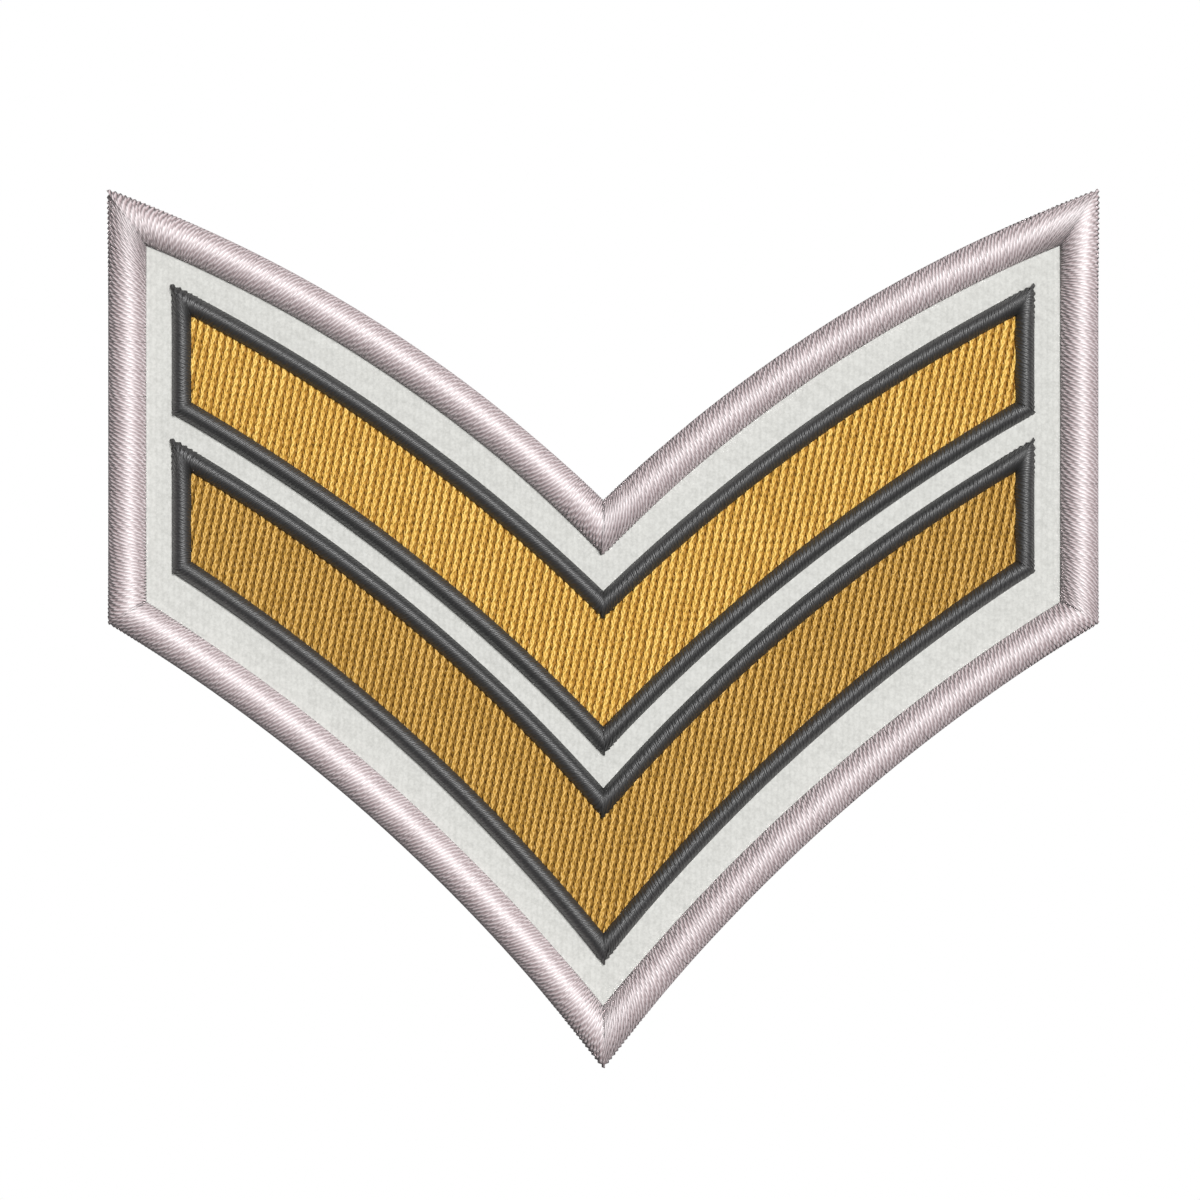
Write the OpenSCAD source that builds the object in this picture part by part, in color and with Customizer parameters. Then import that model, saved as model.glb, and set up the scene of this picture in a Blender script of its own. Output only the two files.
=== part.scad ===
// Embroidered two-bar chevron rank badge, lying on its back.
// The badge's point is towards -Y and its open side towards +Y.

/* [Outline] */
// Overall width, side to side
badge_w = 98.9; // [90:0.1:110]
// Width of the stitched edge band
edge_w = 3.85; // [3:0.05:4.5]
// Bare cloth between the edge band and the bars, at the sides
side_margin = 2.55; // [1.5:0.05:4]
// Width of the stitched outline round each bar
outline_w = 1.95; // [1.5:0.05:2.4]

/* [Thickness] */
// Thickness of the ground cloth
cloth_t = 1.2; // [1:0.05:1.6]
// Height of the edge band above the cloth
edge_rise = 1.6; // [1.2:0.05:1.8]
// Height of the bars' outlines above the cloth
outline_rise = 1.1; // [0.9:0.05:1.3]
// Thickness of the filling stitches
fill_t = 0.45; // [0.3:0.05:0.5]
// Thickness of the edge band's stitches under the cloth
wrap_t = 0.35; // [0.25:0.05:0.4]

/* [Fit] */
// Clear gap between neighbouring pieces
gap = 0.05; // [0.03:0.01:0.08]

/* [Hidden] */

// Each stitched line is one row, measured along its middle. Heights run up the badge.
// Columns: half width, top corner, notch, radius of the upper arcs,
// foot of the side, point, radius of the lower arcs.
HALF = 0;
TOP = 1;
NOTCH = 2;
UPPER_R = 3;
FOOT = 4;
POINT = 5;
LOWER_R = 6;
bar_half = badge_w / 2 - edge_w - side_margin - outline_w / 2;
edge_line = [badge_w / 2 - edge_w / 2, 40.9, 9.95, 137, 1.45, -40.9, 181];
upper_line = [bar_half, 32.65, 2.25, 176, 21.85, -11.35, 185];
lower_line = [bar_half, 17.15, -17.55, 167, 6, -32.1, 181];

// Points along each long arc, and across each stitched ridge
arc_steps = 16;
edge_steps = 12;
outline_steps = 8;

// Heights of the layers
base_z = cloth_t + gap;
fill_top = base_z + fill_t;
edge_peak = cloth_t + edge_rise;
outline_peak = cloth_t + outline_rise;

// How far the cloth reaches into the edge band, from the band's middle line outwards
slot_reach = 0.38;
// The turned-under stitches stop a little short of the band's inner edge
wrap_inset = 0.1;
// Radius and arc step of the edge band's outer bottom corner
corner_r = 0.35;
corner_step = 30;
// Height at which the edge band's outer side turns into its rounded top
edge_side_z = cloth_t * 0.75;
// How far the lower edges of a rounded ridge stand above what it lies on
edge_lift = 0.12;
outline_lift = 0.15;
// Shape of a ridge: a larger flatness widens its top, a smaller fullness steepens its sides
flatness = 2.2;
fullness = 0.6;

// Centre of the arc of radius r from the middle (0, y0) out to (x1, y1), bulging up and outwards
function arc_centre(x1, y0, y1, r) =
    let (chord = norm([x1, y1 - y0]), drop = sqrt(r * r - chord * chord / 4))
    [x1 / 2 + drop * (y1 - y0) / chord, (y0 + y1) / 2 - drop * x1 / chord];

function arc_y(centre, r, x) = centre[1] + sqrt(r * r - pow(x - centre[0], 2));

function upper_centre(line) = arc_centre(line[HALF], line[NOTCH], line[TOP], line[UPPER_R]);

function lower_centre(line) = arc_centre(line[HALF], line[POINT], line[FOOT], line[LOWER_R]);

// Right half of a line moved outwards by d: notch, top corner, foot of the side, point
function right_half(line, d) =
    let (half = line[HALF] + d, step = half / arc_steps)
    concat(
        [for (i = [0 : arc_steps])
            [i * step, arc_y(upper_centre(line), line[UPPER_R] + d, i * step)]],
        [for (i = [arc_steps : -1 : 0])
            [i * step, arc_y(lower_centre(line), line[LOWER_R] - d, i * step)]]
    );

// The whole closed line moved outwards by d
function ring(line, d) =
    let (right = right_half(line, d))
    concat(right, [for (i = [len(right) - 2 : -1 : 1]) [-right[i][0], right[i][1]]]);

// The badge's outer edge, and the shift that centres it on the origin
outer_ring = ring(edge_line, edge_w / 2);
mid_y = (max([for (p = outer_ring) p[1]]) + min([for (p = outer_ring) p[1]])) / 2;

// Height of a rounded ridge across its width, 0 at both edges and 1 in the middle
function ridge(u) = pow(1 - pow(abs(2 * u - 1), flatness), fullness);

// Top of a stitched ridge from its outer edge to its inner edge, as offset and height
function ridge_top(w, outer_z, inner_z, peak, steps) =
    let (rise = peak - (outer_z + inner_z) / 2)
    [for (i = [0 : steps])
        let (u = i / steps)
        [w / 2 - w * u, outer_z + (inner_z - outer_z) * u + rise * ridge(u)]];

// A closed section of offsets and heights carried round a line
module band(line, section) {
    rings = [for (s = section) [for (p = ring(line, s[0])) [p[0], p[1], s[1]]]];
    sides = len(section);
    stations = len(rings[0]);
    points = [for (r = rings) each r];
    faces = [for (k = [0 : sides - 1], i = [0 : stations - 1])
        let (k2 = (k + 1) % sides, i2 = (i + 1) % stations)
        each [[k * stations + i, k2 * stations + i2, k2 * stations + i],
              [k * stations + i, k * stations + i2, k2 * stations + i2]]];
    polyhedron(points, faces);
}

// A flat layer inside a line moved outwards by d
module layer(line, d, z0, z1) {
    translate([0, 0, z0])
        linear_extrude(z1 - z0)
            polygon(ring(line, d));
}

// Ground cloth: full thickness inside the edge band, thinner where the stitches press its edge
module ground_cloth() {
    color("#DDDED9")
    translate([0, -mid_y, 0]) {
        layer(edge_line, wrap_inset - gap - edge_w / 2, 0, cloth_t);
        layer(edge_line, slot_reach - gap, wrap_t + gap, cloth_t);
    }
}

// Edge band: a ridge over the cloth, the outer side, and the turned-under stitches below
module border() {
    inner = -edge_w / 2;
    outer = edge_w / 2;
    top = ridge_top(edge_w, edge_side_z, base_z + edge_lift, edge_peak, edge_steps);
    under = [
        [inner, base_z],
        [slot_reach, base_z],
        [slot_reach, wrap_t],
        [inner + wrap_inset, wrap_t],
        [inner + wrap_inset, 0]
    ];
    corner = [for (a = [0 : corner_step : 90])
        [outer - corner_r * (1 - sin(a)), corner_r * (1 - cos(a))]];
    color("#F1EBED")
    translate([0, -mid_y, 0])
        band(edge_line, concat(top, under, corner));
}

// Filling stitches run in under the middle of their outline
module bar_fill(line) {
    translate([0, -mid_y, 0])
        layer(line, -gap, base_z, fill_top);
}

// Outline: outer half stands on the cloth, inner half laps over the filling
module bar_outline(line) {
    inner = -outline_w / 2;
    outer = outline_w / 2;
    lap_z = fill_top + gap;
    top = ridge_top(outline_w, base_z + outline_lift, lap_z + outline_lift,
                    outline_peak, outline_steps);
    under = [
        [inner, lap_z],
        [0, lap_z],
        [0, base_z],
        [outer, base_z]
    ];
    translate([0, -mid_y, 0])
        band(line, concat(top, under));
}

module upper_bar_fill() {
    color("#CA9F4E") bar_fill(upper_line);
}

module upper_bar_outline() {
    color("#2C2B2E") bar_outline(upper_line);
}

module lower_bar_fill() {
    color("#B08840") bar_fill(lower_line);
}

module lower_bar_outline() {
    color("#2C2B2E") bar_outline(lower_line);
}

ground_cloth();
border();
upper_bar_fill();
upper_bar_outline();
lower_bar_fill();
lower_bar_outline();
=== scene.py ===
import math

import bmesh
import bpy
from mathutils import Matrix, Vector, noise


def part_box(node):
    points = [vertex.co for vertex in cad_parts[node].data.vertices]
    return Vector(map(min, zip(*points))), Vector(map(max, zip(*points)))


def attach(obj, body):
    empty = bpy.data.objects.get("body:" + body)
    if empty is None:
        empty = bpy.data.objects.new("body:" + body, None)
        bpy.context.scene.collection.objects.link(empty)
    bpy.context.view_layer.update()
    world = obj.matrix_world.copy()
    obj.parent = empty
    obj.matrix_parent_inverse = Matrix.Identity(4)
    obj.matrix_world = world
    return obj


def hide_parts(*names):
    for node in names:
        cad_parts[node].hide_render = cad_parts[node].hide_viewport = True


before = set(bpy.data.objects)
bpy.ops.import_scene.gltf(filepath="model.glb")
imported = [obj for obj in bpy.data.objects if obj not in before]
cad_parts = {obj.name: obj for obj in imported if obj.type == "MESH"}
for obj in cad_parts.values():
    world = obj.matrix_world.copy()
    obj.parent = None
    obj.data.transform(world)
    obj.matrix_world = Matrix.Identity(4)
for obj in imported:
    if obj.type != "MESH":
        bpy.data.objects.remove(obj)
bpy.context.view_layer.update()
print("frame loaded")

mm = 0.001


# An sRGB hex colour in the linear values that shaders read
def linear(hexColour):
    channels = [int(hexColour[i:i + 2], 16) / 255 for i in (1, 3, 5)]
    return [c / 12.92 if c <= 0.04045 else ((c + 0.055) / 1.055) ** 2.4 for c in channels] + [1]


# Finds a node's socket in use, by its name or by its place in the row
def socketOf(sockets, key):
    live = [s for s in sockets if s.enabled]
    return live[key] if isinstance(key, int) else next(s for s in live if s.name == key)


# A value that is a node, or a node with an output's name, is linked; any other is set
def addNode(tree, kind, inputs=None, **settings):
    node = tree.nodes.new(kind)
    for name, value in settings.items():
        setattr(node, name, value)
    for key, value in (inputs or {}).items():
        socket = socketOf(node.inputs, key)
        if isinstance(value, bpy.types.Node):
            tree.links.new(socketOf(value.outputs, 0), socket)
        elif isinstance(value, tuple) and isinstance(value[0], bpy.types.Node):
            tree.links.new(socketOf(value[0].outputs, value[1]), socket)
        else:
            socket.default_value = value
    return node


def newMaterial(name):
    material = bpy.data.materials.new(name)
    material.use_nodes = True
    material.node_tree.nodes.clear()
    return material, material.node_tree


def addObject(name, data):
    made = bpy.data.objects.new(name, data)
    bpy.context.scene.collection.objects.link(made)
    return made


def addPiece(name, mesh, material, slot, *replaced):
    piece = addObject(name, mesh)
    mesh.materials.clear()
    mesh.materials.append(material)
    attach(piece, "root")
    if replaced:
        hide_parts(*replaced)
    return piece


# The stitched lines, in millimetres, on the same middle lines as the CAD solids

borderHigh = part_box("border")[1]
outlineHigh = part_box("upper_bar_outline")[1]
badge = {
    "borderWidth": 3.85,
    "outlineWidth": 1.95,
    "clothTop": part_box("ground_cloth")[1].z / mm,
    "fillTop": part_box("upper_bar_fill")[1].z / mm,
    "borderPeak": borderHigh.z / mm,
    "outlinePeak": outlineHigh.z / mm,
    "flatness": 2.2,
    "fullness": 0.6,
    "guideStep": 0.5,
}
borderHalf = borderHigh.x / mm - badge["borderWidth"] / 2
barHalf = outlineHigh.x / mm - badge["outlineWidth"] / 2
borderLine = {"half": borderHalf, "top": 40.9, "notch": 9.95, "upperRadius": 137,
              "foot": 1.45, "point": -40.9, "lowerRadius": 181}
upperLine = {"half": barHalf, "top": 32.65, "notch": 2.25, "upperRadius": 176,
             "foot": 21.85, "point": -11.35, "lowerRadius": 185}
lowerLine = {"half": barHalf, "top": 17.15, "notch": -17.55, "upperRadius": 167,
             "foot": 6, "point": -32.1, "lowerRadius": 181}


# The y at x of the upper or lower arc of a line moved outwards by d
def arcY(line, upper, d, x):
    y0, y1 = (line["notch"], line["top"]) if upper else (line["point"], line["foot"])
    radius = line["upperRadius"] if upper else line["lowerRadius"]
    half = line["half"]
    chord = math.hypot(half, y1 - y0)
    drop = math.sqrt(radius ** 2 - chord ** 2 / 4)
    centreX = half / 2 + drop * (y1 - y0) / chord
    centreY = (y0 + y1) / 2 - drop * half / chord
    moved = radius + d if upper else radius - d
    return centreY + math.sqrt(moved ** 2 - (abs(x) - centreX) ** 2)


edgeOut = badge["borderWidth"] / 2
topY = arcY(borderLine, True, edgeOut, borderHalf + edgeOut)
midY = (topY + arcY(borderLine, False, edgeOut, 0)) / 2


# The six edges clockwise from the notch, each as its kind and the x that it runs from and to
def edgesOf(line, d):
    half = line["half"] + d
    return [("upper", 0, half), ("side", half, half), ("lower", half, 0),
            ("lower", 0, -half), ("side", -half, -half), ("upper", -half, 0)]


def edgeCount(line, number, step):
    kind, x0, x1 = edgesOf(line, 0)[number]
    if kind == "side":
        rise = arcY(line, True, 0, x0) - arcY(line, False, 0, x0)
    else:
        rise = arcY(line, kind == "upper", 0, x1) - arcY(line, kind == "upper", 0, x0)
    return math.ceil(math.hypot(x1 - x0, rise) / step)


# Points along one edge of a line moved outwards by d
def edgePoints(line, d, number, count):
    kind, x0, x1 = edgesOf(line, d)[number]
    ends = [arcY(line, True, d, x0), arcY(line, False, d, x0)]
    y0, y1 = ends if x0 > 0 else reversed(ends)
    points = []
    for i in range(count + 1):
        x = x0 + (x1 - x0) * i / count
        y = y0 + (y1 - y0) * i / count if kind == "side" else arcY(line, kind == "upper", d, x)
        points.append(Vector((x, y - midY, 0)))
    return points


def meshOf(name, points, edges=(), faces=()):
    mesh = bpy.data.meshes.new(name)
    mesh.from_pydata([Vector(p) * mm for p in points], edges, faces)
    mesh.update()
    return mesh


def addAttribute(mesh, name, kind, values):
    attribute = mesh.attributes.new(name, kind, "POINT")
    if kind == "FLOAT_VECTOR":
        attribute.data.foreach_set("vector", [c for v in values for c in v])
    else:
        attribute.data.foreach_set("value", values)


# A guide for satin stitches: the middle of the band, with where its two needle lines lie. Stitches run
# square across, and turn to the corner's own line over the fan's length. Onward runs along the band and
# sideways square to the stitch. The spreads say how far apart stitches lie at each needle line, 1 being
# as far as along the middle of the band.
def satinGuide(name, line, width, fan, power, edges):
    points, links, toOuter, toInner, onward, sideways, outerSpread, innerSpread = ([] for _ in range(8))
    for number in edges:
        middle = edgePoints(line, 0, number, edgeCount(line, number, badge["guideStep"]))
        sides = [edgePoints(line, d, number, 1) for d in (width / 2, -width / 2)]
        along = [0]
        for a, b in zip(middle, middle[1:]):
            along.append(along[-1] + (b - a).length)
        first, last = len(points), len(middle) - 1
        needles = [], []
        for i, p in enumerate(middle):
            ahead = (middle[min(i + 1, last)] - middle[max(i - 1, 0)]).normalized()
            square = Vector((-ahead.y, ahead.x, 0)) * width / 2
            nearStart = max(0, 1 - along[i] / fan) ** power
            nearEnd = max(0, 1 - (along[-1] - along[i]) / fan) ** power
            for side, reach, store, needle in zip(sides, (square, -square), (toOuter, toInner), needles):
                atStart, atEnd = side[0] - middle[0], side[-1] - middle[-1]
                reach = reach.lerp(atStart, nearStart).lerp(atEnd, nearEnd)
                store.append(reach * mm)
                needle.append(p + reach)
            points.append(p)
            onward.append(ahead)
        for i in range(last + 1):
            before, after = max(i - 1, 0), min(i + 1, last)
            stitch = (needles[0][i] - needles[1][i]).normalized()
            sideways.append(Vector((stitch.y, -stitch.x, 0)))
            for needle, store in zip(needles, (outerSpread, innerSpread)):
                store.append((needle[after] - needle[before]).length / (along[after] - along[before]))
        links += [(i, i + 1) for i in range(first, len(points) - 1)]
    mesh = meshOf(name, points, links)
    addAttribute(mesh, "toOuter", "FLOAT_VECTOR", toOuter)
    addAttribute(mesh, "toInner", "FLOAT_VECTOR", toInner)
    addAttribute(mesh, "onward", "FLOAT_VECTOR", onward)
    addAttribute(mesh, "sideways", "FLOAT_VECTOR", sideways)
    addAttribute(mesh, "outerSpread", "FLOAT", outerSpread)
    addAttribute(mesh, "innerSpread", "FLOAT", innerSpread)
    return mesh


# One stitch as points with their share of the way from the inner to the outer needle line, and their height
def stitchShape(name, rows):
    points = [(across, 0, 0) for across, _ in rows]
    mesh = meshOf(name, points, [(i, i + 1) for i in range(len(rows) - 1)])
    addAttribute(mesh, "across", "FLOAT", [across for across, _ in rows])
    addAttribute(mesh, "height", "FLOAT", [height * mm for _, height in rows])
    return mesh


# Height of a rounded ridge across its width, 0 at both edges and 1 in the middle
def ridge(u):
    return (1 - abs(2 * u - 1) ** badge["flatness"]) ** badge["fullness"]


# Shares of the way across, closer together at both ends
def eased(count):
    return [0.5 - 0.5 * math.cos(math.pi * i / count) for i in range(count + 1)]


def newTree(name, inputs):
    tree = bpy.data.node_groups.new(name, "GeometryNodeTree")
    for label, kind in [("Geometry", "Geometry")] + inputs:
        tree.interface.new_socket(label, in_out="INPUT", socket_type="NodeSocket" + kind)
    tree.interface.new_socket("Geometry", in_out="OUTPUT", socket_type="NodeSocketGeometry")
    return tree, tree.nodes.new("NodeGroupInput")


# Threads swell and shrink by this share of their width
threadSwing = 0.06
threadInputs = [("Shape", "Object"), ("Thread width", "Float"), ("Thread height", "Float"),
                ("Section", "Object"), ("Pinch", "Float"), ("Uneven", "Float"), ("Seed", "Int"),
                ("Material", "Material")]


def seedPlus(tree, given, number):
    return addNode(tree, "ShaderNodeMath", {0: (given, "Seed"), 1: number}, operation="ADD")


# Threads from edges that hold across and tone: a swelling tube round each, with what its material reads.
# Where its lay is given, a thread's flat section turns onward, and it keeps which way the crown of a
# round thread would face, lifted towards straight up by the share that comes last.
def threadsFrom(tree, given, lines, spread, lay=None):
    across = addNode(tree, "GeometryNodeInputNamedAttribute", {"Name": "across"}, data_type="FLOAT")
    curve = addNode(tree, "GeometryNodeMeshToCurve", {"Mesh": lines})
    if lay:
        onward, sideways, lift = lay
        curve = addNode(tree, "GeometryNodeSetCurveNormal", {"Curve": curve, "Normal": onward}, mode="FREE")
        tangent = addNode(tree, "GeometryNodeInputTangent")
        crown = addNode(tree, "ShaderNodeVectorMath", {0: sideways, 1: tangent}, operation="CROSS_PRODUCT")
        crown = addNode(tree, "ShaderNodeVectorMath", {0: crown}, operation="NORMALIZE")
        crown = addNode(tree, "ShaderNodeMix", {"Factor": lift, "A": crown, "B": (0, 0, 1)},
                        data_type="VECTOR")
        curve = addNode(tree, "GeometryNodeStoreNamedAttribute",
                        {"Geometry": curve, "Name": "crown", "Value": crown}, data_type="FLOAT_VECTOR",
                        domain="POINT")
    length = addNode(tree, "GeometryNodeSplineParameter")
    curve = addNode(tree, "GeometryNodeStoreNamedAttribute",
                    {"Geometry": curve, "Name": "along", "Value": (length, "Length")},
                    data_type="FLOAT", domain="POINT")
    # The eighth power of the way from the middle pinches a thread at its ends alone
    centred = addNode(tree, "ShaderNodeMath", {0: across, 1: 2, 2: -1}, operation="MULTIPLY_ADD")
    square = addNode(tree, "ShaderNodeMath", {0: centred, 1: 2}, operation="POWER")
    eighth = addNode(tree, "ShaderNodeMath", {0: square, 1: 4}, operation="POWER")
    swell = addNode(tree, "ShaderNodeMath", {0: eighth, 1: (given, "Pinch"), 2: 1},
                    operation="MULTIPLY_ADD")
    tone = addNode(tree, "GeometryNodeInputNamedAttribute", {"Name": "tone"}, data_type="FLOAT")
    varied = addNode(tree, "ShaderNodeMapRange",
                     {"Value": tone, "To Min": 1 - threadSwing, "To Max": 1 + threadSwing})
    scale = addNode(tree, "ShaderNodeMath", {0: swell, 1: varied}, operation="MULTIPLY")
    scale = addNode(tree, "ShaderNodeMath", {0: scale, 1: spread}, operation="MULTIPLY")
    section = addNode(tree, "GeometryNodeObjectInfo", {"Object": (given, "Section")})
    circle = addNode(tree, "GeometryNodeMeshToCurve", {"Mesh": (section, "Geometry")})
    spot = addNode(tree, "GeometryNodeInputPosition")
    circle = addNode(tree, "GeometryNodeStoreNamedAttribute",
                     {"Geometry": circle, "Name": "round", "Value": spot},
                     data_type="FLOAT_VECTOR", domain="POINT")
    size = addNode(tree, "ShaderNodeCombineXYZ",
                   {"X": (given, "Thread width"), "Y": (given, "Thread height"), "Z": 1})
    circle = addNode(tree, "GeometryNodeTransform", {"Geometry": circle, "Scale": size})
    tubes = addNode(tree, "GeometryNodeCurveToMesh",
                    {"Curve": curve, "Profile Curve": circle, "Scale": scale, "Fill Caps": True})
    tubes = addNode(tree, "GeometryNodeSetShadeSmooth", {0: tubes, "Shade Smooth": True})
    tubes = addNode(tree, "GeometryNodeRealizeInstances", {"Geometry": tubes})
    tubes = addNode(tree, "GeometryNodeSetMaterial", {"Geometry": tubes, "Material": (given, "Material")})
    addNode(tree, "NodeGroupOutput", {"Geometry": tubes})


# How satin threads lie, as shares: the least and most spread, how far out from the band's middle their
# sections start to turn and their crowns to lift, how much they do at its edges, and a corner's own thread
satinLay = {"thinnest": 0.3, "broadest": 1.5, "turnFrom": 0.88, "turnShare": 0.7, "liftFrom": 0.75,
            "liftShare": 0.55, "cornerWidth": 0.7}


# Satin stitch: threads side by side, each from the inner to the outer needle line
def satinTree():
    tree, given = newTree("satinStitch", [("Pitch", "Float")] + threadInputs)
    line = addNode(tree, "GeometryNodeMeshToCurve", {"Mesh": (given, "Geometry")})
    line = addNode(tree, "GeometryNodeResampleCurve", {"Curve": line, "Length": (given, "Pitch")},
                   mode="LENGTH")
    # Each stitch's two needle holes, a little uneven, and its tone
    spot = addNode(tree, "GeometryNodeInputPosition")
    for number, (reach, end) in enumerate((("toInner", "inner"), ("toOuter", "outer"))):
        offset = addNode(tree, "GeometryNodeInputNamedAttribute", {"Name": reach}, data_type="FLOAT_VECTOR")
        needle = addNode(tree, "ShaderNodeVectorMath", {0: spot, 1: offset}, operation="ADD")
        chance = addNode(tree, "FunctionNodeRandomValue",
                         {"Min": (-1, -1, 0), "Max": (1, 1, 0), "Seed": seedPlus(tree, given, number)},
                         data_type="FLOAT_VECTOR")
        needle = addNode(tree, "ShaderNodeVectorMath", {0: chance, 1: (given, "Uneven"), 2: needle},
                         operation="MULTIPLY_ADD")
        line = addNode(tree, "GeometryNodeStoreNamedAttribute",
                       {"Geometry": line, "Name": end, "Value": needle},
                       data_type="FLOAT_VECTOR", domain="POINT")
    chance = addNode(tree, "FunctionNodeRandomValue", {"Seed": seedPlus(tree, given, 5)}, data_type="FLOAT")
    # One thread on each corner's line, narrow so that it stands out less past the corner: the last of an
    # edge is left out, where the next edge has its first
    firstOnes = addNode(tree, "GeometryNodeCurveEndpointSelection", {"Start Size": 1, "End Size": 0})
    for name, value in (("tone", chance), ("first", firstOnes)):
        line = addNode(tree, "GeometryNodeStoreNamedAttribute",
                       {"Geometry": line, "Name": name, "Value": value}, data_type="FLOAT", domain="POINT")
    shape = addNode(tree, "GeometryNodeObjectInfo", {"Object": (given, "Shape")})
    lastOnes = addNode(tree, "GeometryNodeCurveEndpointSelection", {"Start Size": 0, "End Size": 1})
    others = addNode(tree, "FunctionNodeBooleanMath", {0: lastOnes}, operation="NOT")
    lines = addNode(tree, "GeometryNodeInstanceOnPoints",
                    {"Points": line, "Selection": others, "Instance": (shape, "Geometry")})
    lines = addNode(tree, "GeometryNodeRealizeInstances", {"Geometry": lines})
    across, height, tone, near, far, first = (
        addNode(tree, "GeometryNodeInputNamedAttribute", {"Name": name}, data_type="FLOAT")
        for name in ("across", "height", "tone", "innerSpread", "outerSpread", "first"))
    inner, outer, onward, sideways = (
        addNode(tree, "GeometryNodeInputNamedAttribute", {"Name": name}, data_type="FLOAT_VECTOR")
        for name in ("inner", "outer", "onward", "sideways"))
    # The stitch's shape is stretched from hole to hole
    place = addNode(tree, "ShaderNodeMix", {"Factor": across, "A": inner, "B": outer},
                    data_type="VECTOR", clamp_factor=False)
    raised = addNode(tree, "ShaderNodeMath", {0: tone, 1: (given, "Uneven"), 2: height},
                     operation="MULTIPLY_ADD")
    up = addNode(tree, "ShaderNodeCombineXYZ", {"Z": raised})
    lines = addNode(tree, "GeometryNodeSetPosition", {"Geometry": lines, "Position": place, "Offset": up})
    # Threads are pressed thin where a corner crowds them, and lie broad where it spreads them
    spread = addNode(tree, "ShaderNodeMapRange", {"Value": across, "To Min": near, "To Max": far})
    spread = addNode(tree, "ShaderNodeClamp",
                     {"Value": spread, "Min": satinLay["thinnest"], "Max": satinLay["broadest"]})
    # Their flat sections follow the band's dome, and at the needle lines they turn square to the thread
    edge = addNode(tree, "ShaderNodeMath", {0: across, 1: 2, 2: -1}, operation="MULTIPLY_ADD")
    edge = addNode(tree, "ShaderNodeMath", {0: edge}, operation="ABSOLUTE")
    lift = addNode(tree, "ShaderNodeMapRange",
                   {"Value": edge, "From Min": satinLay["liftFrom"], "To Max": satinLay["liftShare"]})
    edge = addNode(tree, "ShaderNodeMapRange",
                   {"Value": edge, "From Min": satinLay["turnFrom"], "To Max": satinLay["turnShare"]})
    turned = addNode(tree, "ShaderNodeMix", {"Factor": edge, "A": onward, "B": sideways},
                     data_type="VECTOR")
    slanted = addNode(tree, "ShaderNodeVectorMath", {0: onward, 1: sideways}, operation="DOT_PRODUCT")
    narrowed = addNode(tree, "ShaderNodeMapRange",
                       {"Value": edge, "To Min": 1, "To Max": (slanted, "Value")})
    spread = addNode(tree, "ShaderNodeMath", {0: spread, 1: narrowed}, operation="MULTIPLY")
    first = addNode(tree, "ShaderNodeMapRange",
                    {"Value": first, "To Min": 1, "To Max": satinLay["cornerWidth"]})
    spread = addNode(tree, "ShaderNodeMath", {0: spread, 1: first}, operation="MULTIPLY")
    threadsFrom(tree, given, lines, spread, (turned, sideways, lift))
    return tree


# How filling rows lie: shares of a stitch that rows start higher by and scatter by, the shortest stitch in
# millimetres, times a thread snakes in a stitch, and how late its ends dip
fillLay = {"rowShift": 0.25, "scatter": 0.03, "shortest": 0.4, "snakes": 4, "dipPower": 1.6}


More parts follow.
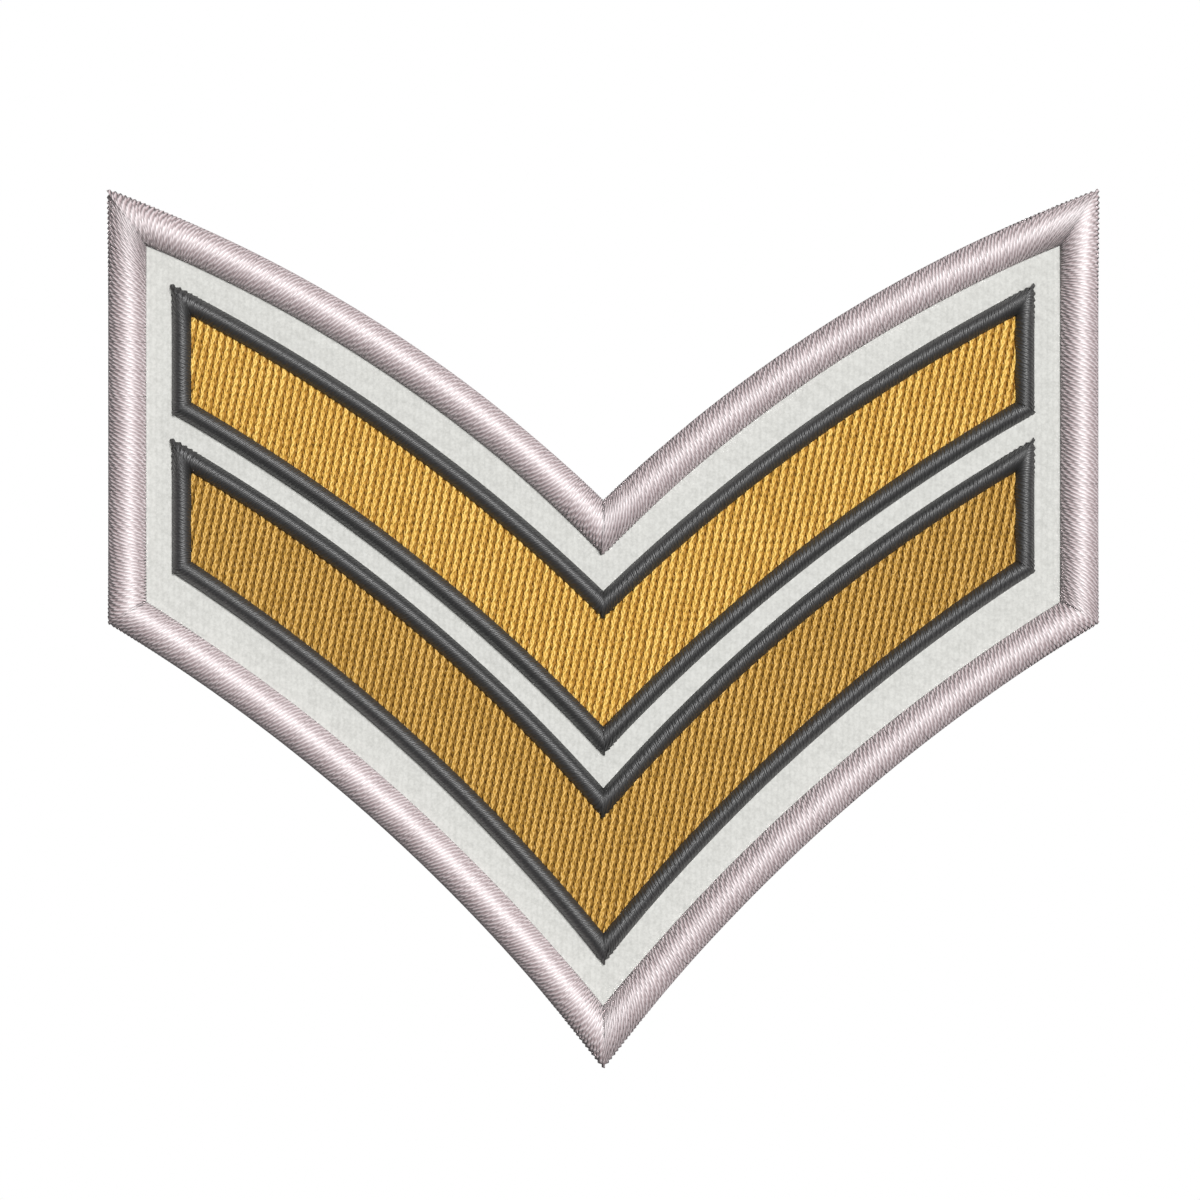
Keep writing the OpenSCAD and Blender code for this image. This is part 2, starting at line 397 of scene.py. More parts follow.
# Filling: straight rows side by side, each of stitches end to end
def fillTree():
    tree, given = newTree("fillingStitch", [
        ("Row pitch", "Float"), ("Stitch length", "Float"), ("Top", "Float"), ("Dip", "Float"),
        ("Dip length", "Float"), ("Wave", "Float"), ("Wiggle", "Float"), ("From", "Float"),
        ("To", "Float")] + threadInputs)
    line = addNode(tree, "GeometryNodeMeshToCurve", {"Mesh": (given, "Geometry")})
    line = addNode(tree, "GeometryNodeResampleCurve", {"Curve": line, "Length": (given, "Row pitch")},
                   mode="LENGTH")
    low, high, phase, start, reach, across, tone = (
        addNode(tree, "GeometryNodeInputNamedAttribute", {"Name": name}, data_type="FLOAT")
        for name in ("rowLow", "rowHigh", "phase", "start", "reach", "across", "tone"))
    # Each row starts a quarter of a stitch higher than the last, give or take a little
    length = (given, "Stitch length")
    row = addNode(tree, "GeometryNodeInputIndex")
    higher = addNode(tree, "ShaderNodeMath", {0: row, 1: fillLay["rowShift"]}, operation="MULTIPLY")
    chance = addNode(tree, "FunctionNodeRandomValue",
                     {"Min": -fillLay["scatter"], "Max": fillLay["scatter"],
                      "Seed": seedPlus(tree, given, 1)}, data_type="FLOAT")
    higher = addNode(tree, "ShaderNodeMath", {0: higher, 1: chance}, operation="ADD")
    line = addNode(tree, "GeometryNodeStoreNamedAttribute",
                   {"Geometry": line, "Name": "phase", "Value": higher}, data_type="FLOAT", domain="POINT")
    # As many stitches as the row needs, end to end, and cut off at both ends of the row
    lowShare = addNode(tree, "ShaderNodeMath", {0: low, 1: length}, operation="DIVIDE")
    lowShare = addNode(tree, "ShaderNodeMath", {0: lowShare, 1: phase}, operation="SUBTRACT")
    lowest = addNode(tree, "ShaderNodeMath", {0: lowShare}, operation="FLOOR")
    tall = addNode(tree, "ShaderNodeMath", {0: high, 1: low}, operation="SUBTRACT")
    count = addNode(tree, "ShaderNodeMath", {0: tall, 1: length}, operation="DIVIDE")
    count = addNode(tree, "ShaderNodeMath", {0: count, 1: 2}, operation="ADD")
    stitches = addNode(tree, "GeometryNodeDuplicateElements", {"Geometry": line, "Amount": count},
                       domain="POINT")
    foot = addNode(tree, "ShaderNodeMath", {0: lowest, 1: (stitches, "Duplicate Index")}, operation="ADD")
    foot = addNode(tree, "ShaderNodeMath", {0: foot, 1: phase}, operation="ADD")
    foot = addNode(tree, "ShaderNodeMath", {0: foot, 1: length}, operation="MULTIPLY")
    end = addNode(tree, "ShaderNodeMath", {0: foot, 1: length}, operation="ADD")
    foot = addNode(tree, "ShaderNodeMath", {0: foot, 1: low}, operation="MAXIMUM")
    end = addNode(tree, "ShaderNodeMath", {0: end, 1: high}, operation="MINIMUM")
    span = addNode(tree, "ShaderNodeMath", {0: end, 1: foot}, operation="SUBTRACT")
    chance = addNode(tree, "FunctionNodeRandomValue", {"Seed": seedPlus(tree, given, 2)}, data_type="FLOAT")
    for name, value in (("tone", chance), ("start", foot), ("reach", span)):
        stitches = addNode(tree, "GeometryNodeStoreNamedAttribute",
                           {"Geometry": stitches, "Name": name, "Value": value},
                           data_type="FLOAT", domain="POINT")
    # Only stitches that are long enough and between the tree's two limits are sewn
    longEnough = addNode(tree, "FunctionNodeCompare", {"A": reach, "B": fillLay["shortest"] * mm},
                         data_type="FLOAT", operation="GREATER_THAN")
    spot = addNode(tree, "ShaderNodeSeparateXYZ", {"Vector": addNode(tree, "GeometryNodeInputPosition")})
    after = addNode(tree, "FunctionNodeCompare", {"A": (spot, "X"), "B": (given, "From")},
                    data_type="FLOAT", operation="GREATER_EQUAL")
    before = addNode(tree, "FunctionNodeCompare", {"A": (spot, "X"), "B": (given, "To")}, data_type="FLOAT",
                     operation="LESS_THAN")
    chosen = addNode(tree, "FunctionNodeBooleanMath", {0: after, 1: before}, operation="AND")
    chosen = addNode(tree, "FunctionNodeBooleanMath", {0: chosen, 1: longEnough}, operation="AND")
    shape = addNode(tree, "GeometryNodeObjectInfo", {"Object": (given, "Shape")})
    lines = addNode(tree, "GeometryNodeInstanceOnPoints",
                    {"Points": stitches, "Selection": chosen, "Instance": (shape, "Geometry")})
    lines = addNode(tree, "GeometryNodeRealizeInstances", {"Geometry": lines})
    spot = addNode(tree, "ShaderNodeSeparateXYZ", {"Vector": addNode(tree, "GeometryNodeInputPosition")})
    # Both ends of a stitch dip into their needle holes
    away = addNode(tree, "ShaderNodeMath", {0: 1, 1: across}, operation="SUBTRACT")
    nearest = addNode(tree, "ShaderNodeMath", {0: away, 1: across}, operation="MINIMUM")
    nearest = addNode(tree, "ShaderNodeMath", {0: nearest, 1: reach}, operation="MULTIPLY")
    sink = addNode(tree, "ShaderNodeMapRange",
                   {"Value": nearest, "From Max": (given, "Dip length"), "To Min": 1, "To Max": 0})
    sink = addNode(tree, "ShaderNodeMath", {0: sink, 1: fillLay["dipPower"]}, operation="POWER")
    sink = addNode(tree, "ShaderNodeMath", {0: sink, 1: (given, "Dip")}, operation="MULTIPLY")
    z = addNode(tree, "ShaderNodeMath", {0: (given, "Top"), 1: sink}, operation="SUBTRACT")
    bump = addNode(tree, "ShaderNodeMath", {0: tone, 1: (given, "Uneven"), 2: z}, operation="MULTIPLY_ADD")
    y = addNode(tree, "ShaderNodeMath", {0: across, 1: reach, 2: start}, operation="MULTIPLY_ADD")
    # The instanced shape runs along X from its row, so that its own reach comes off X again
    x = addNode(tree, "ShaderNodeMath", {0: across, 1: -mm, 2: (spot, "X")}, operation="MULTIPLY_ADD")
    # Each row bends away from the needle holes of the rows beside it
    turns = addNode(tree, "ShaderNodeMath", {0: y, 1: length}, operation="DIVIDE")
    turns = addNode(tree, "ShaderNodeMath", {0: turns, 1: phase}, operation="SUBTRACT")
    turns = addNode(tree, "ShaderNodeMath", {0: turns, 1: math.tau}, operation="MULTIPLY")
    wave = addNode(tree, "ShaderNodeMath", {0: turns}, operation="SINE")
    wave = addNode(tree, "ShaderNodeMath", {0: wave, 1: (given, "Wave")}, operation="MULTIPLY")
    x = addNode(tree, "ShaderNodeMath", {0: x, 1: wave}, operation="SUBTRACT")
    # Its twist makes it snake a little as well
    twist = addNode(tree, "ShaderNodeMath", {0: tone, 1: math.tau}, operation="MULTIPLY")
    snake = addNode(tree, "ShaderNodeMath", {0: turns, 1: fillLay["snakes"], 2: twist},
                    operation="MULTIPLY_ADD")
    snake = addNode(tree, "ShaderNodeMath", {0: snake}, operation="SINE")
    x = addNode(tree, "ShaderNodeMath", {0: snake, 1: (given, "Wiggle"), 2: x}, operation="MULTIPLY_ADD")
    place = addNode(tree, "ShaderNodeCombineXYZ", {"X": x, "Y": y, "Z": bump})
    lines = addNode(tree, "GeometryNodeSetPosition", {"Geometry": lines, "Position": place})
    threadsFrom(tree, given, lines, 1)
    return tree


# Sews a tree's stitches on a guide, and keeps only what the threads' materials read
def runTree(name, mesh, tree, values):
    guide = addObject(name, mesh)
    modifier = guide.modifiers.new("stitches", "NODES")
    modifier.node_group = tree
    for item in tree.interface.items_tree:
        if item.in_out == "INPUT" and item.name in values:
            modifier[item.identifier] = values[item.name]
    depsgraph = bpy.context.evaluated_depsgraph_get()
    made = bpy.data.meshes.new_from_object(guide.evaluated_get(depsgraph),
                                           preserve_all_data_layers=True, depsgraph=depsgraph)
    guide.modifiers.remove(modifier)
    bpy.data.objects.remove(guide)
    keep = ("along", "round", "tone", "crown", "position", "sharp_face", "material_index")
    for unused in [a.name for a in made.attributes if a.name not in keep and not a.name.startswith(".")]:
        made.attributes.remove(made.attributes[unused])
    made.name = name
    print(name, len(made.polygons), "faces")
    return made


# The inputs that all threads need, from the settings of their piece
def threadValues(settings, stitch, seed, material):
    return {"Shape": stitch, "Thread width": settings["threadWidth"] * mm,
            "Thread height": settings["threadHeight"] * mm, "Section": threadSection,
            "Pinch": settings["pinch"], "Uneven": settings["uneven"] * mm, "Seed": seed,
            "Material": material}


# Embroidery thread: bright trilobal polyester, two plies twisted. It gives each stitch a satin shine along
# its crown and fine slanting dashes where the plies meet, drawn by a bump and by painted shade in the
# grooves. The ply's length and slant were chosen to match the photo's dashes. The gloss has a higher
# index than polyester, as many filaments glint together.
def embroideryThread(name, look):
    material, tree = newMaterial(name)
    along = addNode(tree, "ShaderNodeAttribute", attribute_name="along")
    around = addNode(tree, "ShaderNodeAttribute", attribute_name="round")
    tone = addNode(tree, "ShaderNodeAttribute", attribute_name="tone")
    side = addNode(tree, "ShaderNodeSeparateXYZ", {"Vector": (around, "Vector")})
    turns = addNode(tree, "ShaderNodeMath", {0: (along, "Fac"), 1: 1 / (look["ply"] * mm)},
                    operation="MULTIPLY")
    for value, share in (((side, "X"), look["slant"]), ((tone, "Fac"), look["drift"])):
        turns = addNode(tree, "ShaderNodeMath", {0: value, 1: share, 2: turns}, operation="MULTIPLY_ADD")
    turns = addNode(tree, "ShaderNodeMath", {0: turns, 1: math.tau}, operation="MULTIPLY")
    wave = addNode(tree, "ShaderNodeMath", {0: turns}, operation="COSINE")
    ply = addNode(tree, "ShaderNodeMapRange",
                  {"Value": wave, "From Min": -1, "From Max": 1, "To Min": 1, "To Max": 0})
    shade = addNode(tree, "ShaderNodeMix",
                    {"Factor": (tone, "Fac"), "A": linear(look["deep"]), "B": linear(look["bright"])},
                    data_type="RGBA")
    # The grooves where the plies meet take a darker, warmer colour: painted shade
    colour = addNode(tree, "ShaderNodeMix", {"Factor": ply, "A": linear(look["grooveShade"]), "B": shade},
                     data_type="RGBA")
    # Threads that dip low into a needle hole are painted darker: painted shade in the dips, gone at the
    # crests
    if "holeShade" in look:
        place = addNode(tree, "ShaderNodeTexCoord")
        place = addNode(tree, "ShaderNodeSeparateXYZ", {"Vector": (place, "Object")})
        outOfShade = addNode(tree, "ShaderNodeMapRange",
                        {"Value": (place, "Z"), "From Min": look["sunkBelow"] * mm,
                         "From Max": look["clearAbove"] * mm}, interpolation_type="SMOOTHSTEP")
        colour = addNode(tree, "ShaderNodeMix", {"Factor": outOfShade, "A": linear(look["holeShade"]), "B": colour},
                         data_type="RGBA")
    bump = addNode(tree, "ShaderNodeBump",
                   {"Height": ply, "Distance": look["plyDepth"] * mm, "Strength": 1})
    facing = {}
    if "crown" in look:
        ownWay = addNode(tree, "ShaderNodeNewGeometry")
        crown = addNode(tree, "ShaderNodeAttribute", attribute_name="crown")
        crown = addNode(tree, "ShaderNodeMix",
                        {"Factor": look["crown"], "A": (ownWay, "Normal"), "B": (crown, "Vector")},
                        data_type="VECTOR")
        crown = addNode(tree, "ShaderNodeVectorMath", {0: crown}, operation="NORMALIZE")
        tree.links.new(crown.outputs[0], bump.inputs["Normal"])
        facing = {"Coat Normal": crown}
    surface = addNode(tree, "ShaderNodeBsdfPrincipled",
                      {"Base Color": colour, "Roughness": look["roughness"], "IOR": look["ior"],
                       "Specular IOR Level": look["specular"], "Specular Tint": linear(look["tint"]),
                       "Coat Weight": look["gloss"], "Coat Roughness": look["glossRoughness"],
                       "Coat IOR": look["glossIor"], "Normal": bump, **facing})
    addNode(tree, "ShaderNodeOutputMaterial", {"Surface": surface})
    return material


# The zigzag underlay and padding below the stitches, seen only as a dull ground in the gaps. A darker
# colour than the thread's paints the shade there.
def underlayThread(name, colour):
    material, tree = newMaterial(name)
    surface = addNode(tree, "ShaderNodeBsdfPrincipled", {"Base Color": linear(colour), "Roughness": 0.9})
    addNode(tree, "ShaderNodeOutputMaterial", {"Surface": surface})
    return material


twill = {"warpPitch": 0.585, "repeat": 1.2, "pick": 0.3, "wanderScale": 0.8, "wander": 0.3,
         "crownFull": 0.6, "crownLeast": 0.3, "fibre": 0.25, "cloudScale": 1.2, "weave": 0.22,
         "nap": 1.4, "cloud": 0.7, "darkBelow": 0.8, "lightAbove": 1.4, "low": "#B0B0AC",
         "high": "#C4C4C0", "depth": 0.01}


# Brushed cotton twill: matt, with faint slanting floats under a soft fibrous nap
def twillCloth(name):
    material, tree = newMaterial(name)
    place = addNode(tree, "ShaderNodeTexCoord")
    inMm = addNode(tree, "ShaderNodeVectorMath", {0: (place, "Object"), "Scale": 1 / mm}, operation="SCALE")
    wander = addNode(tree, "ShaderNodeTexNoise",
                     {"Vector": inMm, "Scale": twill["wanderScale"], "Detail": 1})
    wander = addNode(tree, "ShaderNodeVectorMath", {0: (wander, "Color"), "Scale": twill["wander"]},
                     operation="SCALE")
    moved = addNode(tree, "ShaderNodeVectorMath", {0: inMm, 1: wander}, operation="ADD")
    spot = addNode(tree, "ShaderNodeSeparateXYZ", {"Vector": moved})
    warp = addNode(tree, "ShaderNodeMath", {0: (spot, "X"), 1: twill["warpPitch"]}, operation="DIVIDE")
    end = addNode(tree, "ShaderNodeMath", {0: warp}, operation="FLOOR")
    across = addNode(tree, "ShaderNodeMath", {0: warp, 1: math.pi}, operation="MULTIPLY")
    across = addNode(tree, "ShaderNodeMath", {0: across}, operation="SINE")
    across = addNode(tree, "ShaderNodeMath", {0: across}, operation="ABSOLUTE")
    up = addNode(tree, "ShaderNodeMath", {0: (spot, "Y"), 1: twill["repeat"]}, operation="DIVIDE")
    up = addNode(tree, "ShaderNodeMath", {0: end, 1: twill["pick"] / twill["repeat"], 2: up},
                 operation="MULTIPLY_ADD")
    up = addNode(tree, "ShaderNodeMath", {0: up, 1: math.tau}, operation="MULTIPLY")
    up = addNode(tree, "ShaderNodeMath", {0: up}, operation="COSINE")
    crown = addNode(tree, "ShaderNodeMapRange",
                    {"Value": up, "From Min": -1, "From Max": twill["crownFull"],
                     "To Min": twill["crownLeast"]})
    weave = addNode(tree, "ShaderNodeMath", {0: across, 1: crown}, operation="MULTIPLY")
    weave = addNode(tree, "ShaderNodeMath", {0: weave, 1: twill["weave"]}, operation="MULTIPLY")
    nap = addNode(tree, "ShaderNodeTexNoise",
                  {"Vector": inMm, "Scale": 1 / twill["fibre"], "Detail": 4, "Roughness": 0.7})
    cloud = addNode(tree, "ShaderNodeTexNoise",
                    {"Vector": inMm, "Scale": twill["cloudScale"], "Detail": 2})
    # The colour follows this height, so the hollows between the weave's floats are painted shade; the nap
    # and the soft mottling vary it at random as the cloth's own tone
    height = addNode(tree, "ShaderNodeMath", {0: (nap, "Fac"), 1: twill["nap"], 2: weave},
                     operation="MULTIPLY_ADD")
    shade = addNode(tree, "ShaderNodeMath", {0: (cloud, "Fac"), 1: twill["cloud"], 2: height},
                    operation="MULTIPLY_ADD")
    shade = addNode(tree, "ShaderNodeMapRange",
                    {"Value": shade, "From Min": twill["darkBelow"], "From Max": twill["lightAbove"]})
    colour = addNode(tree, "ShaderNodeMix",
                     {"Factor": shade, "A": linear(twill["low"]), "B": linear(twill["high"])},
                     data_type="RGBA")
    bump = addNode(tree, "ShaderNodeBump",
                   {"Height": height, "Distance": twill["depth"] * mm, "Strength": 1})
    surface = addNode(tree, "ShaderNodeBsdfPrincipled",
                      {"Base Color": colour, "Roughness": 0.9, "Normal": bump, "Specular IOR Level": 0.2})
    addNode(tree, "ShaderNodeOutputMaterial", {"Surface": surface})
    return material


satinLook = {"ply": 0.88, "slant": -1.67, "drift": 1, "plyDepth": 0.095, "roughness": 0.5, "crown": 0.85,
             "specular": 0.5, "ior": 1.6, "tint": "#FFFFFF", "gloss": 1, "glossRoughness": 0.6,
             "glossIor": 2.5}
fillLook = {"ply": 0.77, "slant": -0.84, "drift": 1, "plyDepth": 0.075, "roughness": 0.5,
            "specular": 0.8, "ior": 1.5, "tint": "#FFF2CC", "gloss": 0, "glossRoughness": 0.5,
            "glossIor": 1.5, "sunkBelow": 1.36, "clearAbove": 1.72}
whiteThread = embroideryThread("whitePolyesterThread", dict(
    satinLook, grooveShade="#9E8688", deep="#CCBDBF", bright="#D8CBCD"))
blackThread = embroideryThread("blackPolyesterThread", dict(
    satinLook, grooveShade="#060507", deep="#0D0C0E", bright="#141315", roughness=0.45, specular=0.9,
    plyDepth=0.11, gloss=0.55, glossIor=1.6, glossRoughness=0.55))
upperGold = embroideryThread("goldPolyesterThread", dict(
    fillLook, grooveShade="#D6AA4A", deep="#EABC5A", bright="#FAD67A", holeShade="#AA7A2C"))
lowerGold = embroideryThread("darkGoldPolyesterThread", dict(
    fillLook, grooveShade="#BA8E3C", deep="#D2A44C", bright="#E6BA66", holeShade="#926A26"))
clothMaterial = twillCloth("cottonTwill")
# The white and gold underlays are darker than their threads: painted shade in the gaps between stitches
whiteUnderlay = underlayThread("whiteUnderlay", "#C6BABC")
blackUnderlay = underlayThread("blackUnderlay", "#141416")
upperUnderlay = underlayThread("goldUnderlay", "#A07224")
lowerUnderlay = underlayThread("darkGoldUnderlay", "#84601F")

satin = satinTree()
filling = fillTree()

# A thread's outline seen from its end, finer above than below
sectionAngles = [math.radians(angle) for angle in (0, 45, 90, 135, 180, 270)]
ring = meshOf("threadSection", [(math.cos(a) / 2 / mm, math.sin(a) / 2 / mm, 0) for a in sectionAngles],
              [(i, (i + 1) % len(sectionAngles)) for i in range(len(sectionAngles))])
threadSection = addObject("threadSection", ring)


# A closed section of offsets and heights carried round a line
def bandMesh(name, line, section, step):
    rings = []
    for offset, z in section:
        for number in range(6):
            rings += [Vector((p.x, p.y, z))
                      for p in edgePoints(line, offset, number, edgeCount(line, number, step))[:-1]]
    around = len(rings) // len(section)
    faces = []
    for k in range(len(section)):
        here, following = k * around, (k + 1) % len(section) * around
        faces += [(here + i, here + (i + 1) % around, following + (i + 1) % around, following + i)
                  for i in range(around)]
    mesh = meshOf(name, rings, faces=faces)
    pointOut(mesh)
    return mesh


def pointOut(mesh):
    shell = bmesh.new()
    shell.from_mesh(mesh)
    bmesh.ops.recalc_face_normals(shell, faces=shell.faces)
    shell.to_mesh(mesh)
    shell.free()


# The two bars' outlines

outline = {"pitch": 0.36, "threadWidth": 0.6, "threadHeight": 0.03, "segments": 10,
           "pinch": -0.3, "uneven": 0.003, "fan": 4.5, "fanPower": 2.9, "depth": 0.15, "padInset": 0.12,
           "padBelow": 0.03, "padLift": 0.02, "padStep": 0.05, "padSpacing": 2}


def outlineShape():
    rows = []
    for u in eased(outline["segments"]):
        foot = badge["fillTop"] * (1 - u) + badge["clothTop"] * u - outline["depth"]
        peak = badge["outlinePeak"] - outline["threadHeight"] / 2
        rows.append((u, foot + (peak - foot) * ridge(u)))
    return rows


# The pad steps up from the cloth to the filling, and stays clear of both
def outlinePad():
    half = badge["outlineWidth"] / 2 - outline["padInset"]
    under = outline["threadHeight"] / 2 + outline["padBelow"]
    lift, step = outline["padLift"], outline["padStep"]
    fillZ, clothZ = badge["fillTop"] + lift, badge["clothTop"] + lift
    tops = [(half * (2 * u - 1), z - under) for u, z in outlineShape()]
    tops = [(d, max(z, (fillZ if d < step else clothZ) + lift)) for d, z in tops]
    return tops + [(half, clothZ), (step, clothZ), (step, fillZ), (-half, fillZ)]


outlineStitch = addObject("outlineStitch", stitchShape("outlineStitch", outlineShape()))
for part, line, seed in (("upper", upperLine, 11), ("lower", lowerLine, 23)):
    guide = satinGuide(part + "Guide", line, badge["outlineWidth"], outline["fan"], outline["fanPower"],
                       range(6))
    threads = runTree(part + "OutlineThreads", guide, satin, {
        "Pitch": outline["pitch"] * mm, **threadValues(outline, outlineStitch, seed, blackThread)})
    addPiece(part + "BarOutline", threads, blackThread, "black_thread", part + "_bar_outline")
    pad = bandMesh(part + "OutlinePad", line, outlinePad(), outline["padSpacing"])
    addPiece(part + "BarOutlinePad", pad, blackUnderlay, "black_thread", part + "_bar_outline")

# The stitched border

border = {"pitch": 0.36, "threadWidth": 0.6, "threadHeight": 0.03, "segments": 12,
          "pinch": -0.25, "uneven": 0.003, "fan": 11, "fanPower": 2, "depth": 0.15, "sideTop": 0.75,
          "turn": ((1, 0.45), (2, 0.2), (5, 0.09)), "underZ": 0.09, "underEnd": 0.06,
          "slotReach": 0.38, "slotLow": 0.35, "slotHigh": 1.25, "padInset": 0.1, "padBelow": 0.04,
          "padLift": 0.02, "padOverCloth": 0.6, "padSideZ": 0.4, "padBevel": 0.2, "padSpacing": 2}


# Over the dome, down the outer side and back below to the inner edge
def borderShape():
    rows = []
    inset = border["threadHeight"] / 2 / badge["borderWidth"]
    sideTop = badge["clothTop"] * border["sideTop"]
    peak = badge["borderPeak"] - border["threadHeight"] / 2
    for u in eased(border["segments"]):
        foot = (badge["clothTop"] - border["depth"]) * (1 - u) + sideTop * u
        rows.append((u - inset * u, foot + (peak - foot) * ridge(u)))
    turn = [(1 - share * inset, z) for share, z in border["turn"]]
    return rows + turn + [(0.5, border["underZ"]), (border["underEnd"], border["underZ"])]


# The pad fills the dome and leaves a slot for the cloth's edge
def borderPad():
    half = badge["borderWidth"] / 2 - border["padInset"]
    under = border["threadHeight"] / 2 + border["padBelow"]
    reach, slotLow, slotHigh = border["slotReach"], border["slotLow"], border["slotHigh"]
    tops = [(half * (2 * u - 1),
             max(z - under, slotHigh + border["padLift"] if u < border["padOverCloth"] else 0))
            for u, z in borderShape()[:border["segments"] + 1]]
    low = border["underZ"] + under
    return tops + [(half, border["padSideZ"]), (half - border["padBevel"], low), (-half, low),
                   (-half, slotLow), (reach, slotLow), (reach, slotHigh), (-half, slotHigh)]


borderStitch = addObject("borderStitch", stitchShape("borderStitch", borderShape()))
for side, edges, seed in (("Right", (0, 1, 2), 37), ("Left", (3, 4, 5), 41)):
    guide = satinGuide("borderGuide" + side, borderLine, badge["borderWidth"], border["fan"],
                       border["fanPower"], edges)
    threads = runTree("border" + side, guide, satin, {
        "Pitch": border["pitch"] * mm, **threadValues(border, borderStitch, seed, whiteThread)})
    addPiece("borderStitches" + side, threads, whiteThread, "border_thread", "border")
pad = bandMesh("borderPad", borderLine, borderPad(), border["padSpacing"])
addPiece("borderCore", pad, whiteUnderlay, "border_thread", "border")

# The two bars' filling

fill = {"rowPitch": 0.193, "stitchLength": 3.86, "threadWidth": 0.34, "threadHeight": 0.24,
        "segments": 13, "dip": 0.45, "dipLength": 1.85, "wave": 0.03, "wiggle": 0.06, "pinch": -0.2,
        "uneven": 0.03, "endInset": 0.05}


# A guide for filling rows: a line from left to right, with how low and high a row reaches at each point
def rowGuide(name, line):
    half = line["half"] - fill["endInset"]
    count = 2 * math.ceil(half / badge["guideStep"])
    xs = [half * (2 * i / count - 1) for i in range(count + 1)]
    mesh = meshOf(name, [(x, 0, 0) for x in xs], [(i, i + 1) for i in range(count)])
    addAttribute(mesh, "rowLow", "FLOAT", [(arcY(line, False, 0, x) - midY) * mm for x in xs])
    addAttribute(mesh, "rowHigh", "FLOAT", [(arcY(line, True, 0, x) - midY) * mm for x in xs])
    return mesh


fillRows = [(i / fill["segments"], 0) for i in range(fill["segments"] + 1)]
fillStitch = addObject("fillStitch", stitchShape("fillStitch", fillRows))
top = badge["fillTop"] - fill["threadHeight"] / 2 - fill["uneven"]
for part, line, material, seed in (("upper", upperLine, upperGold, 53),
                                   ("lower", lowerLine, lowerGold, 67)):
    for side, first, last in (("Left", -1, 0), ("Right", 0, 1)):
        threads = runTree(part + "FillThreads" + side, rowGuide(part + "Rows", line), filling, {
            "Row pitch": fill["rowPitch"] * mm, "Stitch length": fill["stitchLength"] * mm, "Top": top * mm,
            "Dip": fill["dip"] * mm, "Dip length": fill["dipLength"] * mm, "Wave": fill["wave"] * mm,
            "Wiggle": fill["wiggle"] * mm, "From": first, "To": last,
            **threadValues(fill, fillStitch, seed, material)})
        addPiece(part + "BarFill" + side, threads, material, part + "_gold_thread", part + "_bar_fill")

for shape in (threadSection, outlineStitch, borderStitch, fillStitch):
    bpy.data.objects.remove(shape)

# The ground cloth

cloth = {"step": 0.8, "rows": 60, "tongueZ": 0.4, "stepWidth": 0.05, "billow": 0.05, "billowSize": 6}


# How far a point lies outside a stitched line, less than nothing inside it
def outsideOf(line, x, y):
    out, ahead = [abs(x) - line["half"]], 0.1
    for upper in (True, False):
        top = arcY(line, upper, 0, x)
        slope = (arcY(line, upper, 0, abs(x) + ahead) - arcY(line, upper, 0, abs(x))) / ahead
        out.append((y - top if upper else top - y) / math.hypot(1, slope))
    return max(out)


# The cloth billows faintly, and lies flat where the stitches hold it
def clothHeight(x, y):
    beside = -outsideOf(borderLine, x, y) - badge["borderWidth"] / 2
    for line in (upperLine, lowerLine):
        beside = min(beside, outsideOf(line, x, y) - badge["outlineWidth"] / 2)
    billow = cloth["billow"] * noise.noise(Vector((x, y, 0)) / cloth["billowSize"])
    return badge["clothTop"] + billow * (1 - math.exp(-max(beside, 0) ** 2))


# A closed grid of rows that follow a line's arcs, out to each of the rims in turn. The ends of a row or
# column beyond the last rim are thinner below.
def gridMesh(name, line, rims, step, rowCount, topZ, bottomZ, rimZ):
    inner = line["half"] + rims[-1]
    count = 2 * math.ceil(inner / step)
    columns = [-line["half"] - d for d in rims[:-1]]
    columns += [inner * (2 * i / count - 1) for i in range(count + 1)]
    columns += [line["half"] + d for d in rims[-2::-1]]
    points = []
    for x in columns:
        low, high = arcY(line, False, rims[-1], x), arcY(line, True, rims[-1], x)
        ys = [arcY(line, False, d, x) for d in rims[:-1]]
        ys += [low + (high - low) * j / rowCount for j in range(rowCount + 1)]
        ys += [arcY(line, True, d, x) for d in rims[-2::-1]]
        points += [(x, y) for y in ys]
    wide, tall, out = len(columns), len(ys), len(rims) - 1
    within = [out <= n // tall < wide - out and out <= n % tall < tall - out for n in range(len(points))]
    top = [(x, y - midY, topZ(x, y)) for x, y in points]
    bottom = [(x, y - midY, bottomZ if deep else rimZ) for (x, y), deep in zip(points, within)]
    cells = [(c * tall + r, (c + 1) * tall + r, (c + 1) * tall + r + 1, c * tall + r + 1)
             for c in range(wide - 1) for r in range(tall - 1)]
    below = len(points)
    faces = cells + [tuple(i + below for i in reversed(cell)) for cell in cells]
    rim = [c * tall for c in range(wide)] + [(wide - 1) * tall + r for r in range(1, tall)]
    rim += [c * tall + tall - 1 for c in range(wide - 2, -1, -1)] + list(range(tall - 2, 0, -1))
    faces += [(b, a, a + below, b + below) for a, b in zip(rim, rim[1:] + rim[:1])]
    mesh = meshOf(name, top + bottom, faces=faces)
    pointOut(mesh)
    mesh.shade_smooth()
    mesh.set_sharp_from_angle(angle=math.radians(40))
    return mesh


# The thin rim that goes into the border, then its step, then the cloth at its full thickness
clothLow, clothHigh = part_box("ground_cloth")
inside = -badge["borderWidth"] / 2
rims = (clothHigh.x / mm - borderHalf, inside + 2 * cloth["stepWidth"], inside + cloth["stepWidth"])
clothMesh = gridMesh("clothMesh", borderLine, rims, cloth["step"], cloth["rows"], clothHeight, 0,
                     cloth["tongueZ"])
groundCloth = addPiece("groundCloth", clothMesh, clothMaterial, "ground_cloth", "ground_cloth")
print("ground cloth", len(clothMesh.polygons), "faces")

# The underlay below the filling

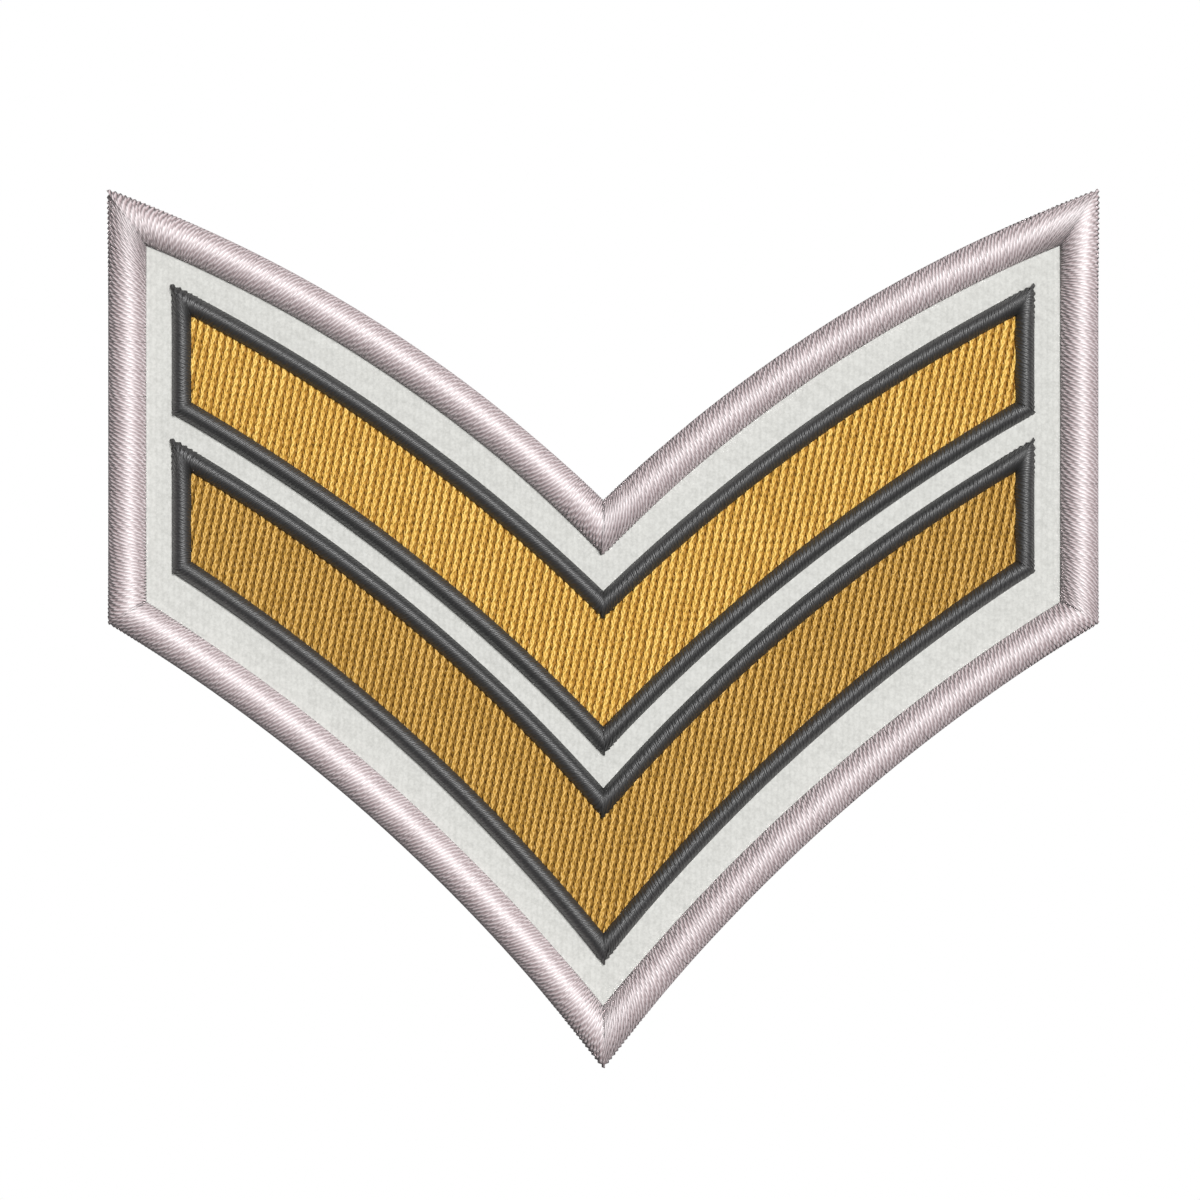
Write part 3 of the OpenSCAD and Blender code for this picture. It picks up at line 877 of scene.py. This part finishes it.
underlay = {"inset": 0.1, "step": 2, "rows": 1, "low": 0.03, "high": 0.15}
lowZ, highZ = badge["clothTop"] + underlay["low"], badge["clothTop"] + underlay["high"]
for part, line, material in (("upper", upperLine, upperUnderlay), ("lower", lowerLine, lowerUnderlay)):
    pad = gridMesh(part + "Pad", line, (-underlay["inset"],), underlay["step"], underlay["rows"],
                   lambda x, y: highZ, lowZ, 0)
    addPiece(part + "BarUnderlay", pad, material, part + "_gold_thread", part + "_bar_fill")

# Floor, light and camera

studio = {"keyAzimuth": 43, "keyElevation": 65, "keyStrength": 4.3, "keySoftness": 20,
          "keyDistance": 0.5, "ambient": 0.17, "viewWidth": 120, "viewCentre": (-0.33, 2.88),
          "lens": 200, "sensor": 36, "floorHalf": 3000, "floorZ": -0.02}

# The floor lies a little below the badge's back, so that the two faces don't coincide
corners = [(x * studio["floorHalf"], y * studio["floorHalf"], studio["floorZ"])
           for x, y in ((-1, -1), (1, -1), (1, 1), (-1, 1))]
floorMesh = meshOf("floor", corners, faces=[(0, 1, 2, 3)])
floor = addObject("floor", floorMesh)
floorMaterial, tree = newMaterial("paleBoard")
path = addNode(tree, "ShaderNodeLightPath")
board = addNode(tree, "ShaderNodeBsdfDiffuse", {"Color": linear("#808080")})
white = addNode(tree, "ShaderNodeEmission", {"Color": linear("#FFFFFF"), "Strength": 1})
mixed = addNode(tree, "ShaderNodeMixShader", {0: (path, "Is Camera Ray"), 1: board, 2: white})
addNode(tree, "ShaderNodeOutputMaterial", {"Surface": mixed})
floorMesh.materials.append(floorMaterial)

world = bpy.data.worlds.new("studio")
world.use_nodes = True
tree = world.node_tree
tree.nodes.clear()
path = addNode(tree, "ShaderNodeLightPath")
dim = addNode(tree, "ShaderNodeBackground", {"Color": linear("#FFFFFF"), "Strength": studio["ambient"]})
bright = addNode(tree, "ShaderNodeBackground", {"Color": linear("#FFFFFF"), "Strength": 1})
mixed = addNode(tree, "ShaderNodeMixShader", {0: (path, "Is Camera Ray"), 1: dim, 2: bright})
addNode(tree, "ShaderNodeOutputWorld", {"Surface": mixed})
bpy.context.scene.world = world

key = bpy.data.lights.new("key", "SUN")
key.energy = studio["keyStrength"]
key.angle = math.radians(studio["keySoftness"])
keyLight = addObject("key", key)
azimuth, elevation = math.radians(studio["keyAzimuth"]), math.radians(studio["keyElevation"])
towards = Vector((math.cos(elevation) * math.cos(azimuth), math.cos(elevation) * math.sin(azimuth),
                  math.sin(elevation)))
keyLight.rotation_euler = towards.to_track_quat("Z", "Y").to_euler()
keyLight.location = towards * studio["keyDistance"]

camera = bpy.data.cameras.new("camera")
camera.lens = studio["lens"]
camera.sensor_width = studio["sensor"]
eye = addObject("camera", camera)
distance = studio["viewWidth"] / studio["sensor"] * studio["lens"]
eye.location = Vector((*studio["viewCentre"], distance)) * mm
bpy.context.scene.camera = eye
bpy.context.scene.view_settings.view_transform = "Standard"

bpy.context.view_layer.update()
